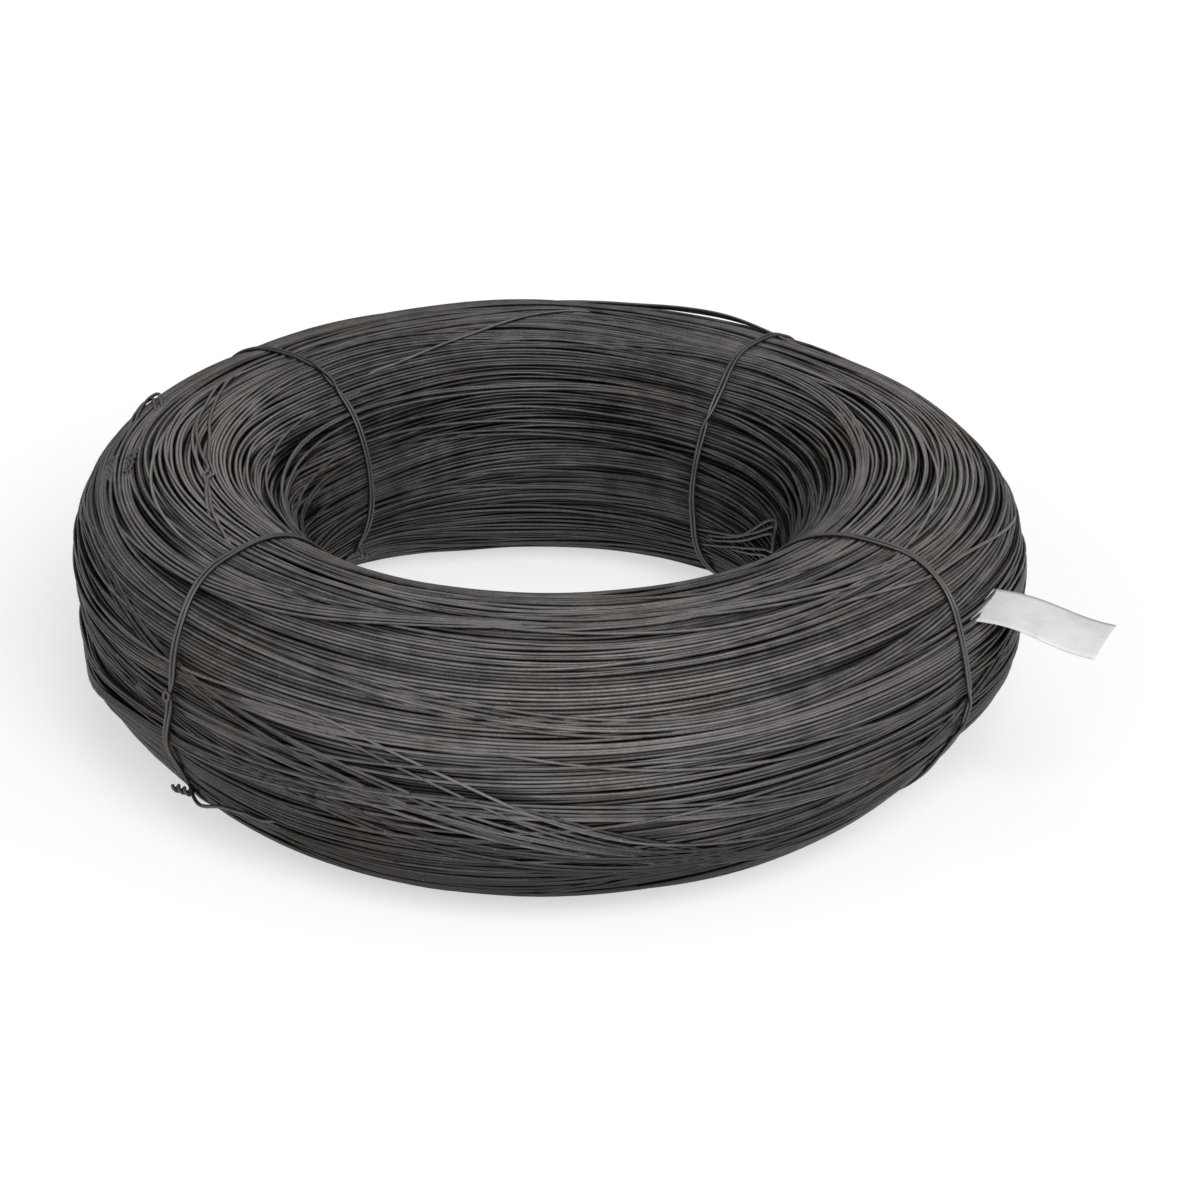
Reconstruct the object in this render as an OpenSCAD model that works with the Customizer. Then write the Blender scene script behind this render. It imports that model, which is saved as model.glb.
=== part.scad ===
// Coil of annealed steel wire, wound in a loose ring, held by four doubled wire ties and marked by one tag.
// Millimetres. The origin is the middle of the bore wall on the coil's axis, +Z is up, and the coil lies flat.

/* [Coil] */
// Diameter over the fullest turns
coil_od = 476; // [440:2:520]
// Diameter of the bore between the innermost turns
bore_d = 239; // [200:1:270]
// Height from the floor to the crown
coil_h = 138; // [120:1:160]
// Diameter of the coiled wire
wire_d = 1.8; // [1.4:0.1:3]
// How far round a turn its round side shows before the groove to the next, degrees
turn_show = 62; // [35:1:65]
// How much lower a turn of the layer below lies, where it shows between two bands
turn_sink = 1.5; // [0.5:0.1:2]

/* [Section] */
// Height of the middle of the straight bore wall above the floor
bore_land_mid = 78; // [60:1:90]
// Height of the straight bore wall
bore_land_h = 16; // [8:1:30]
// Height of the middle of the straight outer wall above the floor
barrel_land_mid = 81; // [60:1:92]
// Height of the straight outer wall
barrel_land_h = 14; // [4:1:30]
// Width of the flat ring that rests on the floor
foot_w = 12; // [8:1:30]
// How far the middle of the foot lies outside the middle of the wall
foot_shift = 2.25; // [-8:0.25:8]
// Width of the flat crown
crown_w = 14; // [4:1:30]
// How far the middle of the crown lies outside the middle of the wall
crown_shift = 6.25; // [-8:0.25:10]
// Fullness of the round from the bore up to the crown; 2 is a quarter ellipse and less is flatter
upper_inner_round = 1.78; // [1.6:0.01:2.4]
// Fullness of the shoulder
shoulder_round = 2.05; // [1.6:0.01:2.4]
// Fullness of the round from the outer wall down to the foot
lower_outer_round = 1.86; // [1.6:0.01:2.4]
// Fullness of the round from the foot up to the bore
lower_inner_round = 1.75; // [1.6:0.01:2.4]

/* [Ties] */
// Diameter of the tie wire
tie_d = 1.8; // [1.4:0.1:2.4]
// Space between the two strands of a tie
strand_gap = 0.3; // [0.2:0.05:1]
// Space between a tie and the turns that it lies on
seat_gap = 0.3; // [0.25:0.05:0.5]
// Space round a tie where it beds into the turns
bed_gap = 0.23; // [0.15:0.01:0.25]
// Direction of the front left tie, degrees from +X
front_left_at = 223; // [205:1:245]
// Direction of the front right tie
front_right_at = 324; // [312:1:328]
// Direction of the back right tie
back_right_at = 51; // [30:1:70]
// Direction of the back left tie
back_left_at = 142; // [120:1:160]
// Length of the twisted tail
tail_l = 17; // [10:1:24]
// Turns in the twisted tail
tail_turns = 2.5; // [1.5:0.5:3]
// Half length of the knot, where a strand crosses to its second round
knot_half = 9; // [7:0.5:12]
// Sides of the tie wire
tie_sides = 8; // [6:1:8]
// Spacing of the rings along a tie
tie_step = 6.5; // [6:0.5:8]

/* [Tag] */
// Width of the tag along the turns
tag_w = 30; // [20:1:40]
// Length of the tag outside the turns
tag_l = 65; // [40:1:90]
// Thickness of the tag
tag_t = 0.4; // [0.3:0.05:0.8]
// Length of the tag tucked in between two turns
tag_tuck = 8; // [4:1:14]
// Direction of the tag, degrees from +X
tag_at = 331.5; // [331:0.5:345]
// Height of the tag's root above the floor
tag_z = 109; // [100:1:114]
// How far the free end droops
tag_droop = 9; // [0:1:15]
// Height of the wave along the tag
tag_wave = 2; // [0:0.5:4]
// Space round the tucked end
tag_gap = 0.2; // [0.1:0.05:0.4]

/* [Hidden] */
$fn = 128;

coil_r = coil_od / 2;
bore_r = bore_d / 2;
wall_mid_r = (coil_r + bore_r) / 2;
floor_z = -bore_land_mid;
top_z = floor_z + coil_h;
bore_land_lo = -bore_land_h / 2;
bore_land_hi = bore_land_h / 2;
barrel_lo = floor_z + barrel_land_mid - barrel_land_h / 2;
barrel_hi = barrel_lo + barrel_land_h;
foot_in = wall_mid_r + foot_shift - foot_w / 2;
foot_out = foot_in + foot_w;
crown_in = wall_mid_r + crown_shift - crown_w / 2;
crown_out = crown_in + crown_w;
corner_steps = 24;
corner_points = corner_steps + 1;

tie_r = tie_d / 2;
tie_lift = tie_r + seat_gap;
tie_bed = tie_r + bed_gap;
strand_off = (tie_d + strand_gap) / 2;
channel_w = 2 * (strand_off + tie_r + bed_gap);
twist_r = (tie_d + bed_gap) / 2;
// Height of a knot over its tie, enough to cross the strand below it, and over a bedded tie to clear the turns as well
outer_knot_h = tie_d + seat_gap;
inner_knot_h = tie_bed + tie_r + twist_r + seat_gap;
tail_start = strand_off + tie_r;
lead_steps = 6;
tail_steps_per_turn = 7;
tail_steps = ceil(tail_turns * tail_steps_per_turn);
// Share of the way down the lower outer round at which an outer knot sits, and down the lower inner round for an inner one
outer_knot = 0.42;
inner_knot = 0.36;

wire_grey = [0.16, 0.15, 0.145];
tie_grey = [0.22, 0.21, 0.2];
tag_white = [0.9, 0.9, 0.88];

// A share of a half axis by a sine or a cosine: it keeps the sign and takes the round's fullness
function full(t, round) = sign(t) * pow(abs(t), 2 / round);

// One rounded corner of the section as points on a quarter of a full or flat ellipse
function corner(mid, half, from, to, round) =
    [for (i = [0 : corner_steps])
        let (a = from + (to - from) * i / corner_steps)
        [mid.x + half.x * full(cos(a), round), mid.y + half.y * full(sin(a), round)]];

// The section from the top of the bore wall over the crown, down the outside and back under the foot
function outline(r_in, r_out, z_lo, z_hi) = concat(
    corner([crown_in, bore_land_hi], [crown_in - r_in, z_hi - bore_land_hi], 180, 90, upper_inner_round),
    corner([crown_out, barrel_hi], [r_out - crown_out, z_hi - barrel_hi], 90, 0, shoulder_round),
    corner([foot_out, barrel_lo], [r_out - foot_out, barrel_lo - z_lo], 0, -90, lower_outer_round),
    corner([foot_in, bore_land_lo], [foot_in - r_in, bore_land_lo - z_lo], -90, -180, lower_inner_round));

// Length along a chain of points up to each of them
function lengths(pts) =
    [for (i = 0, s = 0; i < len(pts); s = s + (i + 1 < len(pts) ? norm(pts[i + 1] - pts[i]) : 0), i = i + 1) s];

function slice(pts, from, to) = [for (i = [from : to]) pts[i]];
function unit(v) = v / norm(v);
function table(keys, pts, axis) = [for (i = [0 : len(pts) - 1]) [keys[i], pts[i][axis]]];
function left_of(v) = [-v.y, v.x];

// Whether a turn of the layer below shows in this place: bands of five to nine turns lie between such places
function sunk(k) = k % 9 == 4 || k % 14 == 11;

// A stretch of the section with the turns standing out of it side by side, in bands
function turns(pts) =
    let (
        keys = lengths(pts),
        total = keys[len(keys) - 1],
        count = floor(total / wire_d),
        pitch = total / count,
        r_of = table(keys, pts, 0),
        z_of = table(keys, pts, 1),
        flank = pitch / 2 * sin(turn_show),
        depth = pitch / 2 * (1 - cos(turn_show)))
    [for (k = [0 : count - 1])
        for (side = [-1, 0, 1])
            let (
                s = (k + 0.5) * pitch + side * flank,
                ahead = [lookup(s + flank, r_of), lookup(s + flank, z_of)],
                behind = [lookup(s - flank, r_of), lookup(s - flank, z_of)],
                out = left_of(unit(ahead - behind)))
            [lookup(s, r_of), lookup(s, z_of)] - out * (depth * abs(side) + (sunk(k) ? turn_sink : 0))];

coil_line = outline(bore_r, coil_r, floor_z, top_z);
coil_profile = concat(
    turns(slice(coil_line, 0, 3 * corner_points - 1)),
    [[foot_out, floor_z], [foot_in, floor_z]],
    turns(slice(coil_line, 3 * corner_points, 4 * corner_points - 1)),
    [[bore_r, bore_land_lo], [bore_r, bore_land_hi]]);

// A tie lies on the crown and the outer wall, and beds into the turns at the bore and the foot
tie_line = outline(bore_r + tie_bed, coil_r + tie_lift, floor_z + tie_bed, top_z + tie_lift);
tie_ring = concat(tie_line, [tie_line[0]]);
tie_keys = lengths(tie_ring);
tie_round = tie_keys[len(tie_keys) - 1];
tie_r_of = table(tie_keys, tie_ring, 0);
tie_z_of = table(tie_keys, tie_ring, 1);
outer_knot_at = tie_keys[floor((2 + outer_knot) * corner_points)];
inner_knot_at = tie_keys[floor((4 - inner_knot) * corner_points)];

function wrap(s) = s - tie_round * floor(s / tie_round);
function tie_at(s) = [lookup(wrap(s), tie_r_of), lookup(wrap(s), tie_z_of)];
function tie_out(s) = left_of(unit(tie_at(s + tie_d) - tie_at(s - tie_d)));
function ease(t) = t * t * (3 - 2 * t);
function bezier(a, b, c, d, t) =
    a * pow(1 - t, 3) + b * 3 * t * pow(1 - t, 2) + c * 3 * t * t * (1 - t) + d * pow(t, 3);

// One end of the tie wire as [along, across, above] the tie's round, from the knot to the tip of the twisted tail
function tie_end(knot, knot_h, sign, hand) =
    let (
        start = [knot + sign * knot_half, sign * hand * strand_off, 0],
        root = [knot + sign * twist_r, hand * tail_start, knot_h],
        lead = [for (i = [0 : lead_steps])
            bezier(start, start - [sign * knot_half * 0.6, 0, 0], root - [0, hand * tie_d * 1.2, 0], root, i / lead_steps)],
        tail = [for (i = [1 : tail_steps])
            let (a = 360 * tail_turns * i / tail_steps)
            [knot + sign * twist_r * cos(a), hand * (tail_start + tail_l * i / tail_steps), knot_h + sign * twist_r * sin(a)]])
    concat(lead, tail);

function reversed(list) = [for (i = [len(list) - 1 : -1 : 0]) list[i]];

// The whole tie wire: tail, first round, the crossing under the knot, second round, tail
function tie_path(knot, knot_h, hand) =
    let (
        run = tie_round - 2 * knot_half,
        steps = ceil(run / tie_step),
        first = [for (i = [1 : steps]) [knot + knot_half + run * i / steps, hand * strand_off, 0]],
        cross = [for (i = [1 : lead_steps])
            [knot + tie_round - knot_half + 2 * knot_half * i / lead_steps,
            hand * strand_off * (1 - 2 * ease(i / lead_steps)), 0]],
        second = [for (i = [1 : steps - 1]) [knot + tie_round + knot_half + run * i / steps, -hand * strand_off, 0]])
    concat(reversed(tie_end(knot, knot_h, 1, hand)), first, cross, second, tie_end(knot, knot_h, -1, hand));

function in_space(q, at) =
    let (p = tie_at(q.x) + tie_out(q.x) * q.z, a = at + q.y / p.x * 180 / PI)
    [p.x * cos(a), p.x * sin(a), p.y];
function out_in_space(q, at) =
    let (n = tie_out(q.x), a = at + q.y / tie_at(q.x).x * 180 / PI)
    [n.x * cos(a), n.x * sin(a), n.y];

// A round wire along a path over the section
module tie_wire(path, at) {
    line = [for (q = path) in_space(q, at)];
    last = len(line) - 1;
    points = [for (i = [0 : last])
        let (
            along = unit(line[min(i + 1, last)] - line[max(i - 1, 0)]),
            across = unit(cross(along, out_in_space(path[i], at))),
            above = cross(across, along))
        for (k = [0 : tie_sides - 1])
            line[i] + tie_r * (across * cos(360 * k / tie_sides) + above * sin(360 * k / tie_sides))];
    skin = [for (i = [0 : last - 1])
        for (k = [0 : tie_sides - 1])
            let (a = i * tie_sides + k, b = i * tie_sides + (k + 1) % tie_sides)
            for (f = [[a, a + tie_sides, b], [b, a + tie_sides, b + tie_sides]]) f];
    ends = [[for (k = [0 : tie_sides - 1]) k], [for (k = [tie_sides - 1 : -1 : 0]) last * tie_sides + k]];
    polyhedron(points = points, faces = concat(skin, ends), convexity = 10);
}

// The bed that a tie presses into the turns, from the crown down the bore and under the foot to the outer wall
module tie_bed_cut(at) {
    from = 2 * corner_points;
    bed = concat(slice(tie_line, from, 4 * corner_points - 1), slice(tie_line, 0, corner_points - 1));
    last = len(bed) - 1;
    out = [for (i = [0 : last]) left_of(unit(bed[min(i + 1, last)] - bed[max(i - 1, 0)]))];
    half = tie_r + bed_gap;
    rotate([90, 0, at])
        linear_extrude(height = channel_w, center = true)
            polygon(concat(
                [for (i = [0 : last]) bed[i] + out[i] * half * 2],
                [for (i = [last : -1 : 0]) bed[i] - out[i] * half]));
}

tag_floor = floor_z + tag_z;
tag_rise = (tag_floor - barrel_hi) / (top_z - barrel_hi);
tag_root_r = crown_out + (coil_r - crown_out) * pow(1 - pow(tag_rise, shoulder_round), 1 / shoulder_round);
tag_steps = 24;

module tag_slit() {
    rotate([0, 0, tag_at])
        translate([tag_root_r - tag_tuck - tag_gap, -tag_w / 2 - tag_gap, tag_floor - tag_t / 2 - tag_gap])
            cube([tag_tuck * 2, tag_w + 2 * tag_gap, tag_t + 2 * tag_gap]);
}

module wire_coil() {
    color(wire_grey)
        difference() {
            rotate_extrude() polygon(coil_profile);
            tie_bed_cut(front_left_at);
            tie_bed_cut(front_right_at);
            tie_bed_cut(back_right_at);
            tie_bed_cut(back_left_at);
            tag_slit();
        }
}

module tie_front_left() {
    color(tie_grey) tie_wire(tie_path(outer_knot_at, outer_knot_h, 1), front_left_at);
}

module tie_front_right() {
    color(tie_grey) tie_wire(tie_path(outer_knot_at, outer_knot_h, 1), front_right_at);
}

module tie_back_right() {
    color(tie_grey) tie_wire(tie_path(outer_knot_at, outer_knot_h, 1), back_right_at);
}

module tie_back_left() {
    color(tie_grey) tie_wire(tie_path(inner_knot_at, inner_knot_h, -1), back_left_at);
}

module tag() {
    // Middle of the tag: flat where it is tucked in, then a wave and a droop
    line = concat(
        [[tag_root_r - tag_tuck, tag_floor]],
        [for (i = [0 : tag_steps])
            let (t = i / tag_steps)
            [tag_root_r + tag_l * t, tag_floor + tag_wave * pow(sin(180 * t), 2) - tag_droop * t * t]]);
    last = len(line) - 1;
    out = [for (i = [0 : last]) left_of(unit(line[min(i + 1, last)] - line[max(i - 1, 0)]))];
    color(tag_white)
        rotate([90, 0, tag_at])
            linear_extrude(height = tag_w, center = true)
                polygon(concat(
                    [for (i = [0 : last]) line[i] + out[i] * tag_t / 2],
                    [for (i = [last : -1 : 0]) line[i] - out[i] * tag_t / 2]));
}

wire_coil();
tie_front_left();
tie_front_right();
tie_back_right();
tie_back_left();
tag();
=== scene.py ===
"""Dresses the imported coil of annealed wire: loose turns, four doubled ties and a bare tag."""

import math

import bpy
import numpy as np
from mathutils import Matrix


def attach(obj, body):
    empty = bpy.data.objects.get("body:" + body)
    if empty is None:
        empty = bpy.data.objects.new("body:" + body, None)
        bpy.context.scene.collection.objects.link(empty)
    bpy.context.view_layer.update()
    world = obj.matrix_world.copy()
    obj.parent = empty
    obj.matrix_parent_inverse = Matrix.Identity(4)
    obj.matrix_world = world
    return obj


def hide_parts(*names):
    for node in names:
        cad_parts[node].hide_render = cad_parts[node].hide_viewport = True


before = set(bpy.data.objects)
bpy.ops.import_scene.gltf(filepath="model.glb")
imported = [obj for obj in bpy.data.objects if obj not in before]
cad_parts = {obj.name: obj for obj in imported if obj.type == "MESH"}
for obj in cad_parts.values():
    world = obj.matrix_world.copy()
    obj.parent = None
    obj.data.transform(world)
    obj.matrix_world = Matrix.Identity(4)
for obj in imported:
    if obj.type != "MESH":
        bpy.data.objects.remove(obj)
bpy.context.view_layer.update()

MM = 0.001
FLOOR_Z = -78.0
rng = np.random.default_rng(1502)

# the section of the ring, in millimetres, with z counted from the floor;
# the powers say how full its four rounds are
OUTER_R = 238.0
BORE_R = 119.3
HEIGHT = 138.0
FULLEST_Z = 74.4
SHOULDER, LOWER_OUTSIDE, INNER_ROUND, LOWER_INSIDE = 2.77, 2.05, 2.03, 1.85
SECTION_STEPS = 2400
LOWEST_Z = 1.0  # of a wire's middle


def section_tables(count):
    """Points and outward normals at even steps round the section, from the bore over the crown."""
    a = np.linspace(np.pi, -np.pi, 10 * count + 1)
    c, s = np.cos(a), np.sin(a)
    outside = np.where(s > 0, SHOULDER, LOWER_OUTSIDE)
    power = np.where(c > 0, outside, np.where(s > 0, INNER_ROUND, LOWER_INSIDE))
    r = (OUTER_R + BORE_R) / 2 + (OUTER_R - BORE_R) / 2 * np.sign(c) * np.abs(c) ** (2 / power)
    z = FULLEST_Z + np.where(s > 0, HEIGHT - FULLEST_Z, FULLEST_Z) * np.sign(s) * np.abs(s) ** (2 / power)
    run = np.concatenate([[0], np.cumsum(np.hypot(np.diff(r), np.diff(z)))])
    at = np.linspace(0, run[-1], count + 1)
    r, z = np.interp(at, run, r), np.interp(at, run, z)
    dr, dz = np.gradient(r[:-1]), np.gradient(z[:-1])
    dr[0] = dr[-1] = 0.0
    dz[0] = dz[-1] = run[-1] / count
    size = np.hypot(dr, dz)
    nr, nz = -dz / size, dr / size
    return run[-1], r, z, np.append(nr, nr[0]), np.append(nz, nz[0])


ROUND, SEC_R, SEC_Z, SEC_NR, SEC_NZ = section_tables(SECTION_STEPS)


def read(table, s):
    """A section table at any distance round it."""
    f = np.mod(s, ROUND) / ROUND * SECTION_STEPS
    i = np.minimum(f.astype(int), SECTION_STEPS - 1)
    return table[i] + (table[i + 1] - table[i]) * (f - i)


# where the wound ring is fuller or slacker than the plain one:
# direction and width in degrees, then place round the section, reach and amount in millimetres
LUMPS = (
    (192, 38, 190, 62, -3.8),
    (204, 20, 244, 26, -1.0),
    (150, 24, 124, 30, -2.6),
    (92, 15, 114, 30, 2.4),
    (38, 14, 120, 30, -1.8),
    (8, 16, 152, 28, 1.5),
    (222, 18, 246, 30, -3.4),
    (262, 20, 246, 32, 2.8),
    (322, 22, 246, 32, -6.8),
    (338, 16, 212, 28, 2.4),
    (236, 20, 48, 24, -2.4),
    (162, 20, 352, 40, -5.5),
    (132, 16, 352, 38, -6.0),
    (196, 8, 204, 16, -2.0),
    (206, 8, 228, 14, 4.2),
    (92, 22, 352, 36, 2.0),
    (16, 14, 150, 24, -1.6),
)


def turn_between(a, b):
    """Angle from b to a, the short way round."""
    return np.angle(np.exp(1j * (a - b)))


# painted light and shade: where the turns are painted paler or darker than elsewhere, laid out in the same way
PAINTED_LIGHT_AND_SHADE = (
    (186, 36, 84, 46, 1.0),
    (5, 40, 104, 42, 0.74),
    (192, 34, 196, 40, -0.5),
    (90, 44, 92, 36, -0.25),
    (262, 70, 256, 32, -0.75),
    (350, 40, 234, 34, -0.3),
    (338, 30, 190, 44, -0.2),
    (268, 60, 112, 36, -0.1),
)
# where the grooves between turns get more painted shade
GROOVE_SHADE_SPOTS = (
    (186, 46, 135, 95, 0.5),
    (2, 50, 135, 95, 0.5),
    (265, 80, 268, 34, 0.4),
    (326, 26, 200, 50, 0.4),
)


def spread(table, theta, s):
    """Sum of soft spots from a table, by direction and place on the section."""
    out = np.zeros(np.broadcast(theta, s).shape)
    for at, wide, middle, reach, amount in table:
        round_way = turn_between(theta, math.radians(at)) / math.radians(wide)
        along = turn_between(2 * np.pi * s / ROUND, 2 * np.pi * middle / ROUND)
        along = along * ROUND / (2 * np.pi) / reach
        out = out + amount * np.exp(-(round_way**2) - along**2)
    return out


def in_space(theta, s, depth):
    """Points at a depth under the section's outline, in metres in the part's frame."""
    d = depth - spread(LUMPS, theta, s)
    r = read(SEC_R, s) - read(SEC_NR, s) * d
    z = np.maximum(read(SEC_Z, s) - read(SEC_NZ, s) * d, LOWEST_Z)
    return np.stack([r * np.cos(theta), r * np.sin(theta), z + FLOOR_Z], -1) * MM


# ties: where they lie, as places round the section and directions in degrees
TIE_D = 1.8
TIE_BITE = 0.55  # how far a tie sinks in between the turns
WAY_SOFTENED = 12
TIE_WAYS = {
    "tie_front_left": (
        (0, 221), (77, 221.5), (121, 223), (148, 225), (182, 225.8),
        (200, 224.8), (220, 223), (241, 222), (300, 221), (360, 221),
    ),
    "tie_front_right": (
        (0, 324), (68, 324.2), (123, 325.4), (163, 323.5), (196, 324.8),
        (222, 325.2), (240, 327), (262, 328), (310, 326), (360, 324),
    ),
    "tie_back_right": (
        (5, 48.3), (36, 48.5), (52, 49), (81, 51.2), (118, 52.3),
        (170, 52), (240, 51.6), (310, 51), (381, 49.8),
    ),
    "tie_back_left": (
        (0, 141), (22, 141.3), (45, 140.3), (66, 140.8), (118, 140.2),
        (180, 141), (250, 142), (320, 141), (365, 139.4), (391, 140.4),
    ),
}


def soften(a, times):
    """Softens a change along a closed way, because the wire doesn't bend sharply."""
    for _ in range(times):
        a = 0.5 * a + 0.25 * (np.roll(a, 1, 0) + np.roll(a, -1, 0))
    return a


def tie_direction(name, s):
    """Direction of a tie at a place on the section, in radians."""
    places, directions = zip(*TIE_WAYS[name])
    even = np.linspace(0, ROUND, 200, endpoint=False)
    way = soften(np.interp(even, places, directions, period=ROUND), WAY_SOFTENED)
    return np.radians(np.interp(np.mod(s, ROUND), even, way, period=ROUND))


# the turns: slices go round the ring, cells round the section
WIRE_D = 1.8
WIRE_R = WIRE_D / 2
SLICES, CELLS = 160, 1500
BED_TURNS, SKIN_TURNS, STRAY_TURNS = 224, 230, 64
BORE_TOP_S, BORE_FOOT_S = 62, 348  # bands swing less outside these places
MEAN_R = 178
SLIP_HALF = 0.66  # how far to each side a turn feels those below it
DEEPEST_DIVE = 1.7
LOOSE_SPOTS = ((186, 0.55), (8, 0.62))  # direction in degrees, width in radians
THETA = np.arange(SLICES) * 2 * np.pi / SLICES


def wander(waves, size, fade, count=1):
    """Smooth closed wander of turns along their way round, one column a turn."""
    k = np.arange(1, waves + 1)
    weight = (size / (1 + (k / fade) ** 2))[:, None]
    a, b = rng.normal(size=(2, waves, count)) * weight
    return np.cos(np.outer(THETA, k)) @ a + np.sin(np.outer(THETA, k)) @ b


def drift(base, size):
    """Slow swing that neighbouring turns share, by direction and place, one column a turn."""
    out = np.zeros((SLICES, len(base)))
    for k in range(1, 5):
        for m in range(-2, 3):
            amount, phase = rng.normal() * size / k, rng.uniform(0, 2 * np.pi)
            out += amount * np.cos(k * THETA[:, None] + 2 * np.pi * m * base / ROUND + phase)
    return out


def tie_squeeze(theta, s, reach):
    """How strongly the nearest tie presses the turns, from 0 to 1."""
    most = np.zeros(np.broadcast(theta, s).shape)
    for name in TIE_WAYS:
        gap = turn_between(theta, tie_direction(name, s)) * read(SEC_R, s)
        most = np.maximum(most, np.exp(-((gap / reach) ** 2)))
    return most


def slack(theta):
    """Where the bands lie loose: most on the left between the ties and on the right of the crown."""
    away = [turn_between(theta, math.radians(at)) / wide for at, wide in LOOSE_SPOTS]
    return 0.1 + 0.9 * np.max([np.exp(-(a**2)) for a in away], 0)


class Winding:
    """Lays turns one on another over the inner turns and keeps the height of what has been laid."""

    def __init__(self):
        self.top = np.zeros((SLICES, CELLS))
        self.rows = np.arange(SLICES)
        self.step = ROUND / CELLS
        half = int(WIRE_R / self.step)
        self.over = [(o, math.sqrt(WIRE_R**2 - (o * self.step) ** 2)) for o in range(-half, half + 1)]
        self.felt = [(o, h) for o, h in self.over if abs(o * self.step) < SLIP_HALF]
        self.s, self.height, self.tone = [], [], []

    def cells(self, s):
        """Cells of the height table along a path."""
        return np.rint(np.mod(s, ROUND) / self.step).astype(int)

    def level(self, s):
        """Mean height of what has been laid under a path."""
        return self.top[self.rows, self.cells(s) % CELLS].mean()

    def rest(self, s):
        """Height at which one turn rests on those below; it slips down beside its neighbours."""
        at = self.cells(s)
        rest = np.max([self.top[self.rows, (at + o) % CELLS] + h for o, h in self.felt], 0)
        return np.maximum(rest, 0.5 * (np.roll(rest, 1) + np.roll(rest, -1)))

    def lay(self, ways, tones, sink=0.0):
        """Lays turns side by side as one layer.

        They lie flush where they are held, each for itself where they are loose, and sunk where they dive under.
        """
        flush = np.stack([self.rest(w) for w in ways], 1)
        for _ in range(3):
            wide = np.concatenate([flush[:, :1], flush, flush[:, -1:]], 1)
            flush = np.maximum(0.5 * flush + 0.25 * (wide[:, 2:] + wide[:, :-2]), flush - 0.3)
        loose = 0.2 + 0.6 * slack(THETA)
        for i, w in enumerate(ways):
            rest = flush[:, i] + loose * np.maximum(self.rest(w) - flush[:, i], 0)
            rest = soften(rest, 5) - sink
            at = self.cells(w)
            for o, h in self.over:
                c = (at + o) % CELLS
                self.top[self.rows, c] = np.maximum(self.top[self.rows, c], rest + h)
            self.s.append(w)
            self.height.append(rest)
            self.tone.append(tones[i])

    def lay_band(self, way, count, opening, stray, sink, dull=0.0):
        """Lays a band of turns along one way.

        It opens away from the ties, its turns stray a little and its edges peel away.
        """
        pitch = WIRE_D * (1.01 + opening * (1 - 0.9 * tie_squeeze(THETA, way, 30.0)))
        loose = wander(30, 0.06, 10.0, count) + wander(7, stray, 3.0, count)
        edge = np.abs(np.linspace(-1, 1, count)) ** 3 if count > 1 else np.zeros(1)
        peel = wander(4, 1.0, 2.0, count) * edge
        tone = rng.uniform(0.3, 0.75)
        ways = [way + (i - (count - 1) / 2) * pitch + loose[:, i] + peel[:, i] for i in range(count)]
        self.lay(ways, tone - dull + rng.uniform(-0.25, 0.25, count), sink)

    def cover(self):
        """Height of the highest turns near each place, softened."""
        high = self.top
        for o in (1, 2, 4, 5):
            high = np.max([high, np.roll(high, o, 1), np.roll(high, -o, 1)], 0)
        high = np.max([high, np.roll(high, 1, 0), np.roll(high, -1, 0)], 0)
        for _ in range(3):
            high = (high + np.roll(high, 4, 1) + np.roll(high, -4, 1)) / 3
        return high

    def read_height(self, table, theta, s):
        """A table of heights at any direction and place."""
        f, g = np.mod(theta, 2 * np.pi) / (2 * np.pi) * SLICES, np.mod(s, ROUND) / self.step
        i, j = f.astype(int) % SLICES, g.astype(int) % CELLS
        f, g = f - np.floor(f), g - np.floor(g)
        low = table[i, j] * (1 - g) + table[i, (j + 1) % CELLS] * g
        high = table[(i + 1) % SLICES, j] * (1 - g) + table[(i + 1) % SLICES, (j + 1) % CELLS] * g
        return low * (1 - f) + high * f


def band_way(start, size):
    """A smooth way round for a band of turns, which swings over its neighbours."""
    return start + wander(5, size, 1.7)[:, 0] * read(SEC_R, np.array(start)) / MEAN_R


def diving(usual):
    """How far a band dives in among the turns below it along its way round, in millimetres."""
    return np.clip(usual + wander(9, 0.5, 5.0)[:, 0], 0, DEEPEST_DIVE)


def marked_way(stops, times):
    """A way round through given directions and places."""
    at, place_at = zip(*stops)
    return soften(np.interp(np.degrees(THETA), at, place_at, period=360), times)


# bands that sweep down the front, meet low on the right and cross there:
# how many turns, how often the way is softened, and the directions and places it goes through
LAID_LAST = (
    (4, 20, (
        (200, 150), (225, 174), (245, 190), (262, 208), (275, 226), (290, 244),
        (310, 257), (345, 262), (30, 250), (90, 236), (150, 190),
    )),
    (3, 14, (
        (235, 196), (255, 206), (268, 216), (280, 230), (293, 246),
        (308, 258), (350, 250), (60, 240), (180, 205),
    )),
    (3, 8, (
        (266, 198), (272, 207), (279, 219), (287, 231), (296, 249),
        (306, 262), (340, 268), (60, 262), (150, 230), (230, 204),
    )),
    (2, 4, (
        (260, 268), (276, 254), (280, 243), (287, 233), (295, 234), (304, 238),
        (317, 246), (335, 240), (20, 230), (120, 238), (200, 262),
    )),
    (3, 10, (
        (330, 196), (318, 214), (304, 226), (290, 234), (270, 246),
        (250, 250), (150, 226), (60, 200), (0, 186),
    )),
    (4, 12, (
        (215, 192), (232, 202), (244, 210), (252, 219), (260, 225), (272, 232),
        (290, 240), (330, 236), (30, 226), (120, 210), (180, 196),
    )),
    (2, 6, (
        (245, 170), (253, 181), (258, 188), (264, 197), (270, 209),
        (280, 224), (300, 236), (30, 220), (150, 180),
    )),
)


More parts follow.
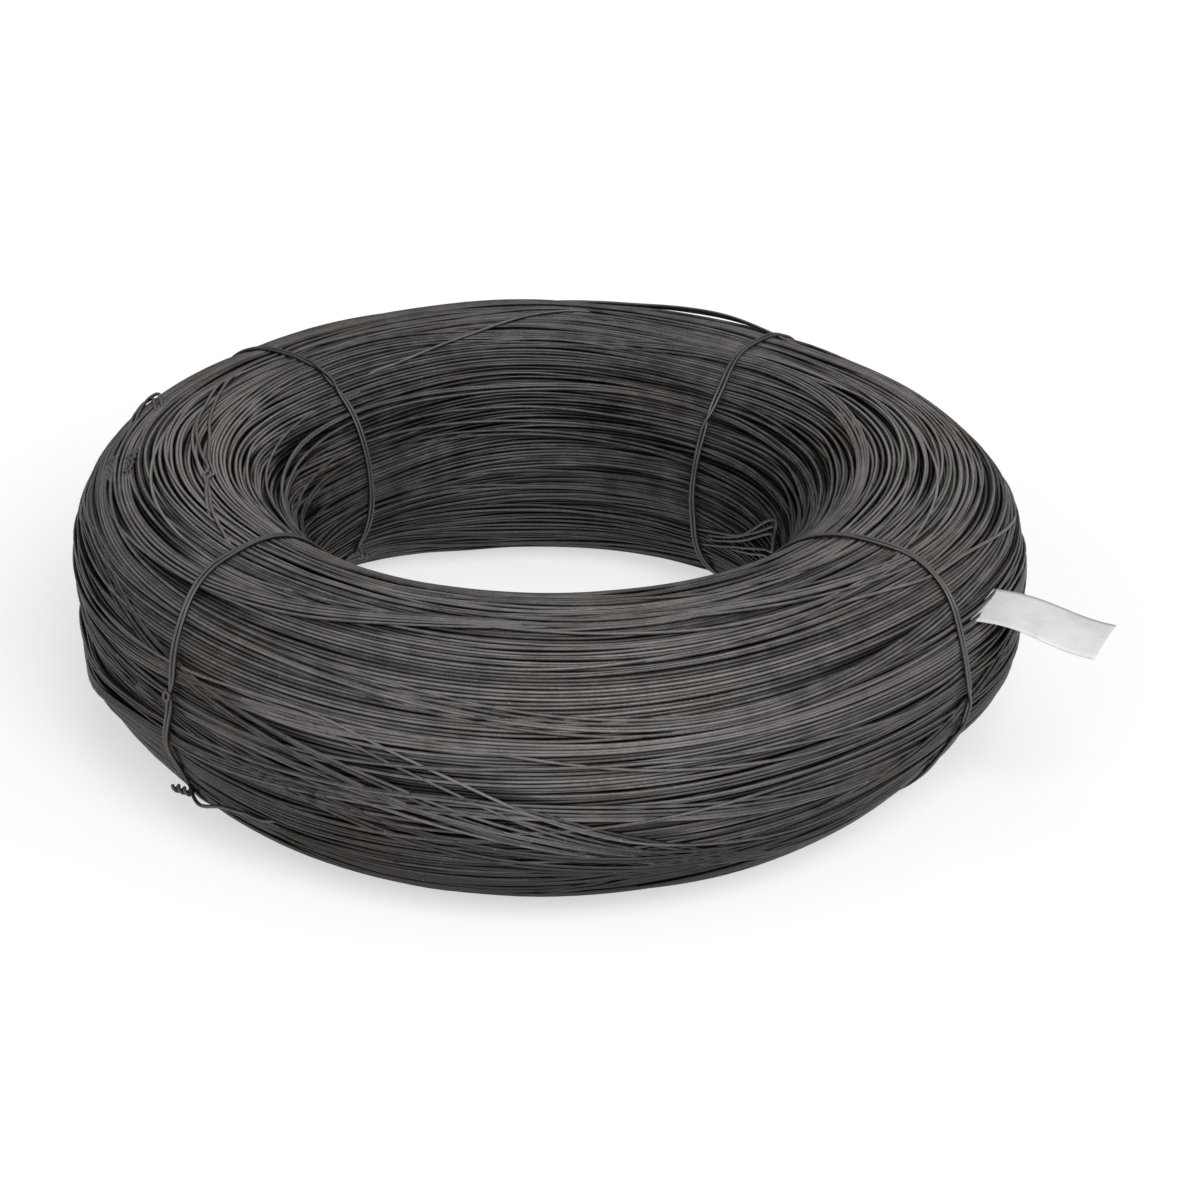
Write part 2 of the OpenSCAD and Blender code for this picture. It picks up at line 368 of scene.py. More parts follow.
def wind_turns():
    """Winds the shell: a bed of even turns, a skin that parts where it is loose, stray bands and marked bands."""
    winding = Winding()
    base = np.arange(BED_TURNS) * ROUND / BED_TURNS
    bed = base + drift(base, 2.0) + wander(6, 0.25, 2.0, BED_TURNS)
    winding.lay(list(bed.T), rng.uniform(0.1, 0.6, BED_TURNS))
    base = (np.arange(SKIN_TURNS) + 0.5) * ROUND / SKIN_TURNS
    skin = base + drift(base, 2.0)
    free = (0.1 + 0.9 * slack(THETA))[:, None] * (1 - 0.85 * tie_squeeze(THETA[:, None], skin, 34.0))
    skin += free * wander(12, 0.55, 4.0, SKIN_TURNS) + wander(30, 0.05, 12.0, SKIN_TURNS)
    for i in rng.permutation(SKIN_TURNS):
        winding.lay([skin[:, i]], [rng.uniform(0.15, 0.85)])
    laid = 0
    while laid < STRAY_TURNS:
        count = int(rng.choice([1, 1, 2, 3, 4, 5]))
        starts = rng.uniform(0, ROUND, 8)
        ways = [band_way(start, 7.0 if BORE_TOP_S < start < BORE_FOOT_S else 3.2) for start in starts]
        way = min(ways, key=winding.level)
        opening = slack(THETA) * np.clip(wander(4, 0.35, 2.0)[:, 0], 0, 0.75)
        winding.lay_band(way, count, opening, 0.05, diving(0.3))
        laid += count
    for count, times, stops in LAID_LAST:
        opening = np.clip(0.45 + wander(4, 0.4, 2.0)[:, 0], 0.05, 1.2)
        winding.lay_band(marked_way(stops, times), count, opening, 0.5, diving(1.0), dull=0.12)
    return winding


WINDING = wind_turns()
COVER = WINDING.cover()
SHELL = float(np.percentile(WINDING.top, 72))  # the shell's thickness: 72 per cent of its places are lower
PRESS_REACH, PRESS_IN, BULGE = 10.0, 0.7, 3.0  # of the turns beside a tie
TIE_STEPS = np.linspace(0, ROUND, 400, endpoint=False)


def under_outline(height):
    """Depth under the section's outline of a height in the winding; what stands proud is drawn in."""
    depth = SHELL - height
    return np.where(depth < WIRE_R, WIRE_R + 0.6 * (depth - WIRE_R), depth)


def taut_depth(name):
    """Depth of a tie's middle round the section: taut over the highest turns and a little pressed in."""
    depth = under_outline(WINDING.read_height(COVER, tie_direction(name, TIE_STEPS), TIE_STEPS))
    for o in (1, 2, 4):
        depth = np.min([depth, np.roll(depth, o), np.roll(depth, -o)], 0)
    return soften(depth, 60) - TIE_D / 2 + TIE_BITE


TIE_DEPTHS = {name: taut_depth(name) for name in TIE_WAYS}


def tie_depth(name, s):
    """Depth of a tie's middle at a place on the section."""
    return np.interp(np.mod(s, ROUND), TIE_STEPS, TIE_DEPTHS[name], period=ROUND)


def settled_depth(theta, s, height):
    """Depth under the outline of turns wound at a height, after the ties have pressed them."""
    depth = under_outline(height)
    for name in TIE_WAYS:
        gap = turn_between(theta, tie_direction(name, s)) * read(SEC_R, s)
        press = np.exp(-((gap / PRESS_REACH) ** 2))
        below = tie_depth(name, s) + TIE_D
        depth = depth + press * PRESS_IN * np.clip(1 - depth / SHELL, 0, 1)
        depth = np.maximum(depth, below - BULGE * (1 - press))
    return depth


# meshes
def quad_mesh(name, verts, quads, uv=None, marks=None):
    """A smooth mesh from arrays of corners and four-sided faces, with named values on its points."""
    mesh = bpy.data.meshes.new(name)
    mesh.vertices.add(len(verts))
    mesh.vertices.foreach_set("co", np.ascontiguousarray(verts, dtype=np.float32).ravel())
    mesh.loops.add(quads.size)
    mesh.loops.foreach_set("vertex_index", np.ascontiguousarray(quads, dtype=np.int32).ravel())
    mesh.polygons.add(len(quads))
    mesh.polygons.foreach_set("loop_start", np.arange(0, quads.size, 4, dtype=np.int32))
    mesh.polygons.foreach_set("loop_total", np.full(len(quads), 4, dtype=np.int32))
    mesh.update(calc_edges=True)
    mesh.polygons.foreach_set("use_smooth", np.ones(len(quads), dtype=bool))
    if uv is not None:
        layer = mesh.uv_layers.new(name="OFBake")
        layer.data.foreach_set("uv", np.ascontiguousarray(uv, dtype=np.float32).ravel())
    for key, values in (marks or {}).items():
        mark = mesh.attributes.new(key, "FLOAT", "POINT")
        mark.data.foreach_set("value", np.ascontiguousarray(values, dtype=np.float32))
    obj = bpy.data.objects.new(name, mesh)
    bpy.context.scene.collection.objects.link(obj)
    return obj


def grid_quads(rows, cols, close_rows, close_cols):
    """Faces of a grid of points, closed round on either side where asked."""
    r = np.arange(rows if close_rows else rows - 1)
    c = np.arange(cols if close_cols else cols - 1)
    i, j = np.meshgrid(r, c, indexing="ij")
    i2, j2 = (i + 1) % rows, (j + 1) % cols
    return np.stack([i * cols + j, i2 * cols + j, i2 * cols + j2, i * cols + j2], -1).reshape(-1, 4)


def closed_turns(theta, s, depth, lie, groove_shade, sides, tones):
    """Round wires along closed turns: corners, faces, bake map and marks."""
    slices, n = s.shape
    theta = theta[:, None]
    middle = in_space(theta, s, depth)
    nr, nz = read(SEC_NR, s), read(SEC_NZ, s)
    out = np.stack([nr * np.cos(theta), nr * np.sin(theta), nz], -1)
    side = np.stack([nz * np.cos(theta), nz * np.sin(theta), -nr], -1)
    a = -2 * np.pi * np.arange(sides) / sides
    ring = middle[:, :, None] + WIRE_R * MM * (
        np.cos(a)[None, None, :, None] * out[:, :, None] + np.sin(a)[None, None, :, None] * side[:, :, None]
    )
    verts = ring.transpose(1, 0, 2, 3).reshape(-1, 3)
    one = grid_quads(slices, sides, True, True)
    quads = (one[None] + (np.arange(n) * slices * sides)[:, None, None]).reshape(-1, 4)
    i, j = np.meshgrid(np.arange(slices), np.arange(sides), indexing="ij")
    u = np.stack([i, i + 1, i + 1, i], -1).reshape(-1, 4) / slices
    v = np.stack([j, j, j + 1, j + 1], -1).reshape(-1, 4) / sides * 0.9 + 0.05
    v = (v[None] + np.arange(n)[:, None, None]) / n
    uv = np.stack([np.broadcast_to(u, v.shape), v], -1).reshape(-1, 2)
    marks = {
        # the turn tone holds each turn's own tone plus the painted light and shade
        "turn_tone": np.repeat((tones + spread(PAINTED_LIGHT_AND_SHADE, theta, s)).T.reshape(-1), sides),
        "lie_deep": np.repeat(lie.T.reshape(-1), sides),
        "groove_shade": np.repeat(groove_shade.T.reshape(-1), sides),
        "crest": np.broadcast_to(0.5 + 0.5 * np.cos(a), (n, slices, sides)).reshape(-1),
    }
    return verts, quads, uv, marks


def tube(points, out, radius, sides, closed):
    """A round wire along a path, with open ends rounded off and capped, and how far each corner faces out."""
    p = np.asarray(points)
    ahead = np.roll(p, -1, 0) - np.roll(p, 1, 0)
    if not closed:
        ahead[0], ahead[-1] = p[1] - p[0], p[-1] - p[-2]
    ahead /= np.linalg.norm(ahead, axis=1)[:, None]
    up = out - ahead * np.sum(out * ahead, 1)[:, None]
    up /= np.linalg.norm(up, axis=1)[:, None]
    across = np.cross(ahead, up)
    size = np.full(len(p), radius)
    if not closed:
        tip = ahead * radius * 0.5
        p = np.concatenate([p[:1] - tip[:1], p, p[-1:] + tip[-1:]])
        up = np.concatenate([up[:1], up, up[-1:]])
        across = np.concatenate([across[:1], across, across[-1:]])
        size = np.concatenate([[radius * 0.15], size, [radius * 0.15]])
    a = -2 * np.pi * np.arange(sides) / sides
    verts = p[:, None] + size[:, None, None] * (
        np.cos(a)[None, :, None] * up[:, None] + np.sin(a)[None, :, None] * across[:, None]
    )
    crest = np.broadcast_to(0.5 + 0.5 * np.cos(a), (len(p), sides))
    quads = grid_quads(len(p), sides, closed, True)
    if not closed:
        k = np.arange(sides // 2 - 1)
        cap = np.stack([k, k + 1, sides - 2 - k, sides - 1 - k], -1)
        quads = np.concatenate([quads, cap, cap[:, ::-1] + (len(p) - 1) * sides])
    return verts.reshape(-1, 3), quads, crest.reshape(-1)


def joined(parts):
    """Several corner and face arrays as one."""
    verts, quads, start = [], [], 0
    for v, q in parts:
        verts.append(v)
        quads.append(q + start)
        start += len(v)
    return np.concatenate(verts), np.concatenate(quads)


# finishes
RUST_BROWN = (0.093, 0.054, 0.032, 1)
SPECK_GREY = (0.3, 0.286, 0.271, 1)
TAG_WHITE, TAG_SOILED = (0.71, 0.706, 0.698, 1), (0.55, 0.536, 0.513, 1)


def node(tree, kind, **values):
    """A new node with its settings."""
    made = tree.nodes.new(kind)
    for key, value in values.items():
        setattr(made, key, value)
    return made


def feed(tree, socket, value):
    """Links an output to a socket, or sets the socket to a plain value."""
    if hasattr(value, "links"):
        tree.links.new(value, socket)
    else:
        socket.default_value = value


def math_node(tree, operation, a, b, clamp=False):
    """One step of arithmetic on two values."""
    made = node(tree, "ShaderNodeMath", operation=operation, use_clamp=clamp)
    feed(tree, made.inputs[0], a)
    feed(tree, made.inputs[1], b)
    return made.outputs[0]


def scaled(tree, value, by, plus):
    """A value times a number, plus a number or another value."""
    return math_node(tree, "ADD", plus, math_node(tree, "MULTIPLY", value, by))


def noise(tree, where, scale, detail, rough=0.55):
    """Noise at so many waves a metre."""
    made = node(tree, "ShaderNodeTexNoise")
    made.inputs["Scale"].default_value = scale
    made.inputs["Detail"].default_value = detail
    made.inputs["Roughness"].default_value = rough
    tree.links.new(where, made.inputs["Vector"])
    return made.outputs["Fac"]


def ramp(tree, value, low, high):
    """A value stretched from 0 at low to 1 at high."""
    made = node(tree, "ShaderNodeMapRange", clamp=True)
    made.inputs["From Min"].default_value = low
    made.inputs["From Max"].default_value = high
    tree.links.new(value, made.inputs["Value"])
    return made.outputs["Result"]


def mix_colour(tree, factor, a, b):
    """From colour a to colour b by a factor."""
    made = node(tree, "ShaderNodeMix", data_type="RGBA")
    for i, value in ((0, factor), (6, a), (7, b)):
        feed(tree, made.inputs[i], value)
    return made.outputs[2]


def annealed_skin():
    """Oxide skin of annealed wire: mottled grey, a brown tinge, pale specks and fine scale, with painted shade in
    the grooves between wires and on turns that lie under others.
    """
    group = bpy.data.node_groups.new("annealed_skin", "ShaderNodeTree")
    face = group.interface
    for label, kind, value in (
        ("Light Grey", "NodeSocketColor", (0.2, 0.19, 0.186, 1)),
        ("Dark Grey", "NodeSocketColor", (0.07, 0.067, 0.065, 1)),
        ("Tone", "NodeSocketFloat", 0.5),
        ("Depth", "NodeSocketFloat", 0.0),
        ("Crest", "NodeSocketFloat", 1.0),
        ("Groove Shade", "NodeSocketFloat", 0.5),
        ("Rust", "NodeSocketFloat", 0.5),
        ("Specks", "NodeSocketFloat", 0.5),
    ):
        face.new_socket(label, in_out="INPUT", socket_type=kind).default_value = value
    face.new_socket("Colour", in_out="OUTPUT", socket_type="NodeSocketColor")
    face.new_socket("Roughness", in_out="OUTPUT", socket_type="NodeSocketFloat")
    face.new_socket("Height", in_out="OUTPUT", socket_type="NodeSocketFloat")
    take, give = node(group, "NodeGroupInput"), node(group, "NodeGroupOutput")
    where = node(group, "ShaderNodeTexCoord").outputs["Object"]
    mottle = ramp(group, noise(group, where, 95, 4), 0.32, 0.68)
    scale = noise(group, where, 1300, 2)
    own_tone = math_node(group, "MULTIPLY", take.outputs["Tone"], 0.74)
    fine_tone = math_node(group, "MULTIPLY", math_node(group, "SUBTRACT", scale, 0.5), 0.6)
    tone = math_node(group, "ADD", math_node(group, "MULTIPLY", mottle, 0.26), own_tone)
    tone = math_node(group, "ADD", tone, fine_tone, True)
    colour = mix_colour(group, tone, take.outputs["Dark Grey"], take.outputs["Light Grey"])
    patch = ramp(group, noise(group, where, 16, 4), 0.52, 0.68)
    grain = ramp(group, noise(group, where, 420, 3), 0.4, 0.7)
    rust = math_node(group, "MULTIPLY", patch, grain)
    rust = math_node(group, "MULTIPLY", rust, take.outputs["Rust"], True)
    colour = mix_colour(group, rust, colour, RUST_BROWN)
    speck = ramp(group, noise(group, where, 620, 1), 0.74, 0.78)
    speck = math_node(group, "MULTIPLY", speck, take.outputs["Specks"], True)
    colour = mix_colour(group, speck, colour, SPECK_GREY)
    # painted shade between wires: each wire's sides go dark towards the grooves, in broken dashes, less where the
    # groove shade mark is low
    broken = ramp(group, noise(group, where, 170, 3), 0.42, 0.62)
    groove = ramp(group, take.outputs["Crest"], 0.58, 0.92)
    groove_lift = math_node(group, "MULTIPLY", math_node(group, "SUBTRACT", 1.0, take.outputs["Groove Shade"]), 0.66)
    groove_lift = math_node(group, "MULTIPLY", groove_lift, scaled(group, broken, 0.4, 0.6))
    groove = scaled(group, math_node(group, "MAXIMUM", groove, groove_lift), 0.97, 0.03)
    # painted shade on turns that lie under higher ones
    deep = ramp(group, take.outputs["Depth"], 0.5, 1.0)
    deep = math_node(group, "SUBTRACT", 1.0, math_node(group, "MULTIPLY", deep, 0.97))
    darken = node(group, "ShaderNodeVectorMath", operation="SCALE")
    group.links.new(colour, darken.inputs[0])
    group.links.new(math_node(group, "MULTIPLY", groove, deep), darken.inputs["Scale"])
    group.links.new(darken.outputs[0], give.inputs["Colour"])
    rough = scaled(group, rust, 0.3, scaled(group, mottle, 0.14, 0.42))
    group.links.new(rough, give.inputs["Roughness"])
    group.links.new(scale, give.inputs["Height"])
    return group


SKIN = annealed_skin()


def new_finish(name):
    """A new material, its nodes and its shader."""
    made = bpy.data.materials.new(name)
    made.use_nodes = True
    return made, made.node_tree, made.node_tree.nodes["Principled BSDF"]


def roughen(tree, shader, height, strength):
    """Fine bump of a fifth of a millimetre at most."""
    bump = node(tree, "ShaderNodeBump")
    bump.inputs["Strength"].default_value = strength
    bump.inputs["Distance"].default_value = 0.2 * MM
    tree.links.new(height, bump.inputs["Height"])
    tree.links.new(bump.outputs["Normal"], shader.inputs["Normal"])


def wire_finish(name, light, dark, rust, specks):
    """A finish of annealed wire; the marks on the mesh say how deep a wire lies and where its crest is, and the
    finish paints shade from them.
    """
    made, tree, shader = new_finish(name)
    skin = node(tree, "ShaderNodeGroup", node_tree=SKIN)
    for label, value in (("Light Grey", light), ("Dark Grey", dark), ("Rust", rust), ("Specks", specks)):
        skin.inputs[label].default_value = value
    for label, mark in (("Tone", "turn_tone"), ("Depth", "lie_deep"), ("Crest", "crest"), ("Groove Shade", "groove_shade")):
        found = node(tree, "ShaderNodeAttribute", attribute_name=mark)
        tree.links.new(found.outputs["Fac"], skin.inputs[label])
    tree.links.new(skin.outputs["Colour"], shader.inputs["Base Color"])
    tree.links.new(skin.outputs["Roughness"], shader.inputs["Roughness"])
    shader.inputs["Metallic"].default_value = 0.2
    roughen(tree, shader, skin.outputs["Height"], 0.25)
    return made


def tag_finish():
    """White coated strip, a little soiled, with a soft mottle."""
    made, tree, shader = new_finish("tag_coated_white")
    where = node(tree, "ShaderNodeTexCoord").outputs["Object"]
    soil = ramp(tree, noise(tree, where, 70, 5, 0.65), 0.45, 0.8)
    tree.links.new(mix_colour(tree, soil, TAG_WHITE, TAG_SOILED), shader.inputs["Base Color"])
    tree.links.new(scaled(tree, soil, 0.25, 0.4), shader.inputs["Roughness"])
    roughen(tree, shader, noise(tree, where, 1500, 3), 0.08)
    return made


TURN_FINISH = wire_finish(
    "turns_annealed", light=(0.293, 0.273, 0.263, 1), dark=(0.032, 0.03, 0.0286, 1), rust=0.6, specks=0.6
)
TIE_FINISH = wire_finish(
    "ties_annealed", light=(0.15, 0.143, 0.139, 1), dark=(0.071, 0.068, 0.066, 1), rust=0.2, specks=0.5
)
# the inner turns are painted near black, as shade seen through the gaps between the outer turns
CORE_PAINTED_SHADE_FINISH = wire_finish(
    "inner_turns_painted_shade", light=(0.022, 0.02, 0.019, 1), dark=(0.009, 0.008, 0.008, 1), rust=0.2, specks=0.1
)
TAG_FINISH = tag_finish()


def place(obj, finish, replaced):
    """Gives a piece its finish and slot, and puts it in place of a node of the part."""
    obj.data.materials.append(finish)
    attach(obj, "root")
    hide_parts(replaced)


# the coil
BED_ZONES = ("bed_turns_upper", "bed_turns_lower")
SHELL_ZONES = (
    "turns_upper_bore", "turns_crown", "turns_shoulder",
    "turns_barrel", "turns_underside", "turns_lower_bore",
)
TURN_SIDES = 5
BORE_SHADE_R, BORE_SHADE_REACH = 166, 30  # turns inside this radius are painted darker, as shade in the bore
BORE_DARKER, ALL_DARKER = 0.55, 0.16


def painted_groove_shade(s):
    """How strongly painted shade darkens the grooves beside a turn: in dashes along it, in patches that neighbours
    share, and more where the turns are painted darker and in the listed spots.
    """
    dashes = soften(rng.normal(size=s.shape), 1)
    patches = np.zeros(s.shape)
    for _ in range(24):
        k, m = rng.integers(2, 13), rng.integers(-9, 10)
        patches += np.cos(k * THETA[:, None] + 2 * np.pi * m * s / ROUND + rng.uniform(0, 2 * np.pi))
    mixed = 0.8 * dashes / dashes.std() + 0.6 * patches / patches.std()
    more = np.maximum(-spread(PAINTED_LIGHT_AND_SHADE, THETA[:, None], s), 0)
    return np.clip(0.4 + 0.55 * (mixed - 0.35) + 0.6 * more + spread(GROOVE_SHADE_SPOTS, THETA[:, None], s), 0, 1)


def build_turns():
    """Joined meshes of the shell's turns, zone by zone round the section."""
    s, height = np.stack(WINDING.s, 1), np.stack(WINDING.height, 1)
    # painted shade in the bore: inner turns get a darker tone and more depth shade
    bore_shade = np.clip((BORE_SHADE_R - read(SEC_R, s.mean(0))) / BORE_SHADE_REACH, 0, 1)
    tones = np.array(WINDING.tone) * (1 - BORE_DARKER * bore_shade) - ALL_DARKER
    depth = settled_depth(THETA[:, None], s, height)
    # how far each turn lies under the highest turns near it, which sets its painted shade
    cover = WINDING.read_height(COVER, np.broadcast_to(THETA[:, None], s.shape), s) - height - WIRE_R
    lie = np.clip(cover / (1.7 * WIRE_D) + 0.2 * bore_shade, 0, 1)
    groove_shade = painted_groove_shade(s)
    every = np.arange(s.shape[1])
    for zones, some, coarse in ((BED_ZONES, every[:BED_TURNS], 2), (SHELL_ZONES, every[BED_TURNS:], 1)):
        at = slice(0, None, coarse)
        mean = np.mod(np.angle(np.exp(2j * np.pi * s[:, some] / ROUND).mean(0)), 2 * np.pi)
        for zone, pick in zip(zones, np.array_split(some[np.argsort(mean)], len(zones))):
            laid = [table[at, pick] for table in (s, depth, lie, groove_shade)]
            turns = closed_turns(THETA[at], *laid, TURN_SIDES, tones[pick])
            place(quad_mesh(zone, *turns), TURN_FINISH, "wire_coil")


def build_core():
    """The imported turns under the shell, grooved turn by turn."""
    turns, around = 90, 96
    s = np.arange(2 * turns) * ROUND / (2 * turns)
    depth = SHELL + np.where(np.arange(2 * turns) % 2, 1.2, 0.2)
    theta = np.arange(around) * 2 * np.pi / around
    verts = in_space(theta[:, None], s[None], np.broadcast_to(depth, (around, 2 * turns)))
    obj = quad_mesh("inner_turns", verts.reshape(-1, 3), grid_quads(around, 2 * turns, True, True)[:, ::-1])
    place(obj, CORE_PAINTED_SHADE_FINISH, "wire_coil")


# ties and loose strands
LOOSE_SIDES = 8
STRAND_R = 190  # about where loose strands lie
# painted shade in the grooves of loose strands and ties
LOOSE_GROOVE_SHADE = 0.85
CLOSING_GAP = 1.2  # a run whose ends are nearer than this is a ring


def surface_ways(theta, s):
    """Unit directions on the section's surface: round the ring, along the section and outwards."""
    theta, s = np.asarray(theta, float), np.asarray(s, float)
    nr, nz = read(SEC_NR, s), read(SEC_NZ, s)
    round_way = np.stack([-np.sin(theta), np.cos(theta), 0 * theta], -1)
    out = np.stack([nr * np.cos(theta), nr * np.sin(theta), nz], -1)
    return round_way, np.cross(round_way, out), out


def through(stops, step):
    """A smooth run through rows of numbers, of which the first two are a direction in degrees and a place."""
    p = np.array(stops, float)
    p = np.concatenate([2 * p[:1] - p[1:2], p, 2 * p[-1:] - p[-2:-1]])
    run = []
    for i in range(1, len(p) - 2):
        far = math.hypot(math.radians(p[i + 1, 0] - p[i, 0]) * STRAND_R, p[i + 1, 1] - p[i, 1])
        t = np.linspace(0, 1, max(3, int(far / step)), endpoint=False)[:, None]
        a, b = (p[i + 1] - p[i - 1]) / 2, (p[i + 2] - p[i]) / 2
        ends = (2 * t**3 - 3 * t**2 + 1) * p[i] + (3 * t**2 - 2 * t**3) * p[i + 1]
        run.append(ends + (t**3 - 2 * t**2 + t) * a + (t**3 - t**2) * b)
    return np.concatenate(run + [p[-2:-1]])


def soften_run(a, times):
    """Softens an open run of values and keeps its two ends."""
    for _ in range(times):
        a = np.concatenate([a[:1], 0.5 * a[1:-1] + 0.25 * (a[2:] + a[:-2]), a[-1:]])
    return a


# for each tie: where its knot sits, the way its twisted tail points (round, along, out), the tail's length,
# the share of it behind the tie, and where its strands cross
TIE_KNOTS = {
    "tie_front_left": (253.0, (-0.98, -0.02, 0.2), 12.0, 0.5, (189.0,)),
    "tie_front_right": (290.0, (0.45, 0.88, 0.02), 12.0, 0.0, (201.0, 214.0)),
    "tie_back_right": (246.0, (0.9, 0.3, 0.15), 13.0, 0.0, (37.0,)),
    "tie_back_left": (366.0, (-0.75, -0.45, 0.3), 9.0, 0.0, (63.0, 71.0, 79.0)),
}
# the back left tie is painted darkest, as shade where it is seen in the bore
TIE_TONES = {"tie_front_left": 0.3, "tie_front_right": 0.35, "tie_back_right": 0.35, "tie_back_left": 0.0}
TWIST_TURNS = 1.4 / 11  # in a millimetre of tail
STRAND_HALF = 1.1  # half the distance between a tie's two strands


def tie_wire(name):
    """One wire twice round the section with a twisted tail: points in metres and the way out at each."""
    knot, way, long, behind, crosses = TIE_KNOTS[name]
    if len(crosses) % 2 == 0:
        crosses = crosses + (knot + 6.0,)
    x = np.linspace(0, ROUND, 200)
    s = knot + x
    side = np.prod([np.tanh((np.mod(c - knot, ROUND) - x) / 3.0) for c in crosses], 0)
    over = np.sum([np.exp(-(((np.mod(c - knot, ROUND) - x) / 5.0) ** 2)) for c in crosses], 0)
    sway = 0.2 * np.sin(x / 13 + knot) + 0.12 * np.sin(x / 6.1)
    rounds, outs = [], []
    for hand, lift in ((1, 1.6), (-1, 0.0)):
        apart = hand * side * (STRAND_HALF + 0.22 * np.sin(x / 15 + hand))
        theta = tie_direction(name, s) + (apart + sway) / read(SEC_R, s)
        depth = tie_depth(name, s) - lift * over - 0.15 * np.sin(x / 8 + hand)
        rounds.append(in_space(theta, s, depth)[2:-2])
        outs.append(surface_ways(theta, s)[2][2:-2])
    theta = float(tie_direction(name, np.array(knot)))
    round_way, along, out = surface_ways(theta, knot)
    d = way[0] * round_way + way[1] * along + way[2] * out
    d /= np.linalg.norm(d)
    u = np.cross(d, out)
    u /= np.linalg.norm(u)
    v = np.cross(d, u)
    depth = np.array(tie_depth(name, knot) - 2.0 - 4.0 * behind)
    base = in_space(np.array(theta), np.array(knot), depth) - MM * behind * long * d
    t = np.linspace(0, 1, 34)[:, None]
    tails, faces = [], []
    for phase in (0, np.pi):
        a = phase + 2 * np.pi * TWIST_TURNS * long * t
        round_tail = np.cos(a) * u + np.sin(a) * v
        tails.append(base + MM * (d * long * t + (STRAND_HALF + 0.35 * t) * round_tail))
        faces.append(round_tail)
    run = soften_run(np.concatenate([tails[0][::-1], rounds[0], rounds[1], tails[1]]), 3)
    run[:, 2] = np.maximum(run[:, 2], (FLOOR_Z + LOWEST_Z) * MM)
    return run, np.concatenate([faces[0][::-1], outs[0], outs[1], faces[1]])


def spare_end():
    """The front left tie's spare end: an open arch beyond the twist, then along the turns."""
    return strand_points(
        (
            (223.6, 252, 3.6), (224.6, 252.6, 5.0), (225.8, 252, 5.6), (227.2, 250, 5.0),
            (228.6, 247.4, 4.0), (230, 245, 3.0), (231.4, 243.4, 2.2), (233, 242.2, 1.6),
            (234.6, 241.2, 0.8), (236, 240.4, 0.9), (237.4, 239.8, 0.4), (240, 238.5, -3.5),
        ),
        0.8,
    )


def tie_eye():
    """The small curl in the front left tie."""
    s, eye_r, proud, tilt = 188.0, 1.9, 2.4, 0.5
    theta = float(tie_direction("tie_front_left", np.array(s)))
    round_way, along, out = surface_ways(theta, s)
    base = in_space(np.array(theta), np.array(s), np.array(tie_depth("tie_front_left", s) - proud))
    a = np.linspace(0, 2 * np.pi, 26, endpoint=False)[:, None]
    ring = np.cos(a) * round_way + np.sin(a) * along
    return base + MM * (eye_r * ring + tilt * np.sin(a) * out), np.broadcast_to(out, ring.shape)


def strand_points(stops, step):
    """A loose strand on the turns, lifted by the third number of each stop: points and the way out at each."""
    way = through(stops, step)
    theta, s = np.radians(way[:, 0]), way[:, 1]
    high = WINDING.read_height(COVER, theta, s)
    depth = soften_run(settled_depth(theta, s, high + 0.6 * WIRE_R), 40)
    return in_space(theta, s, depth - way[:, 2]), surface_ways(theta, s)[2]


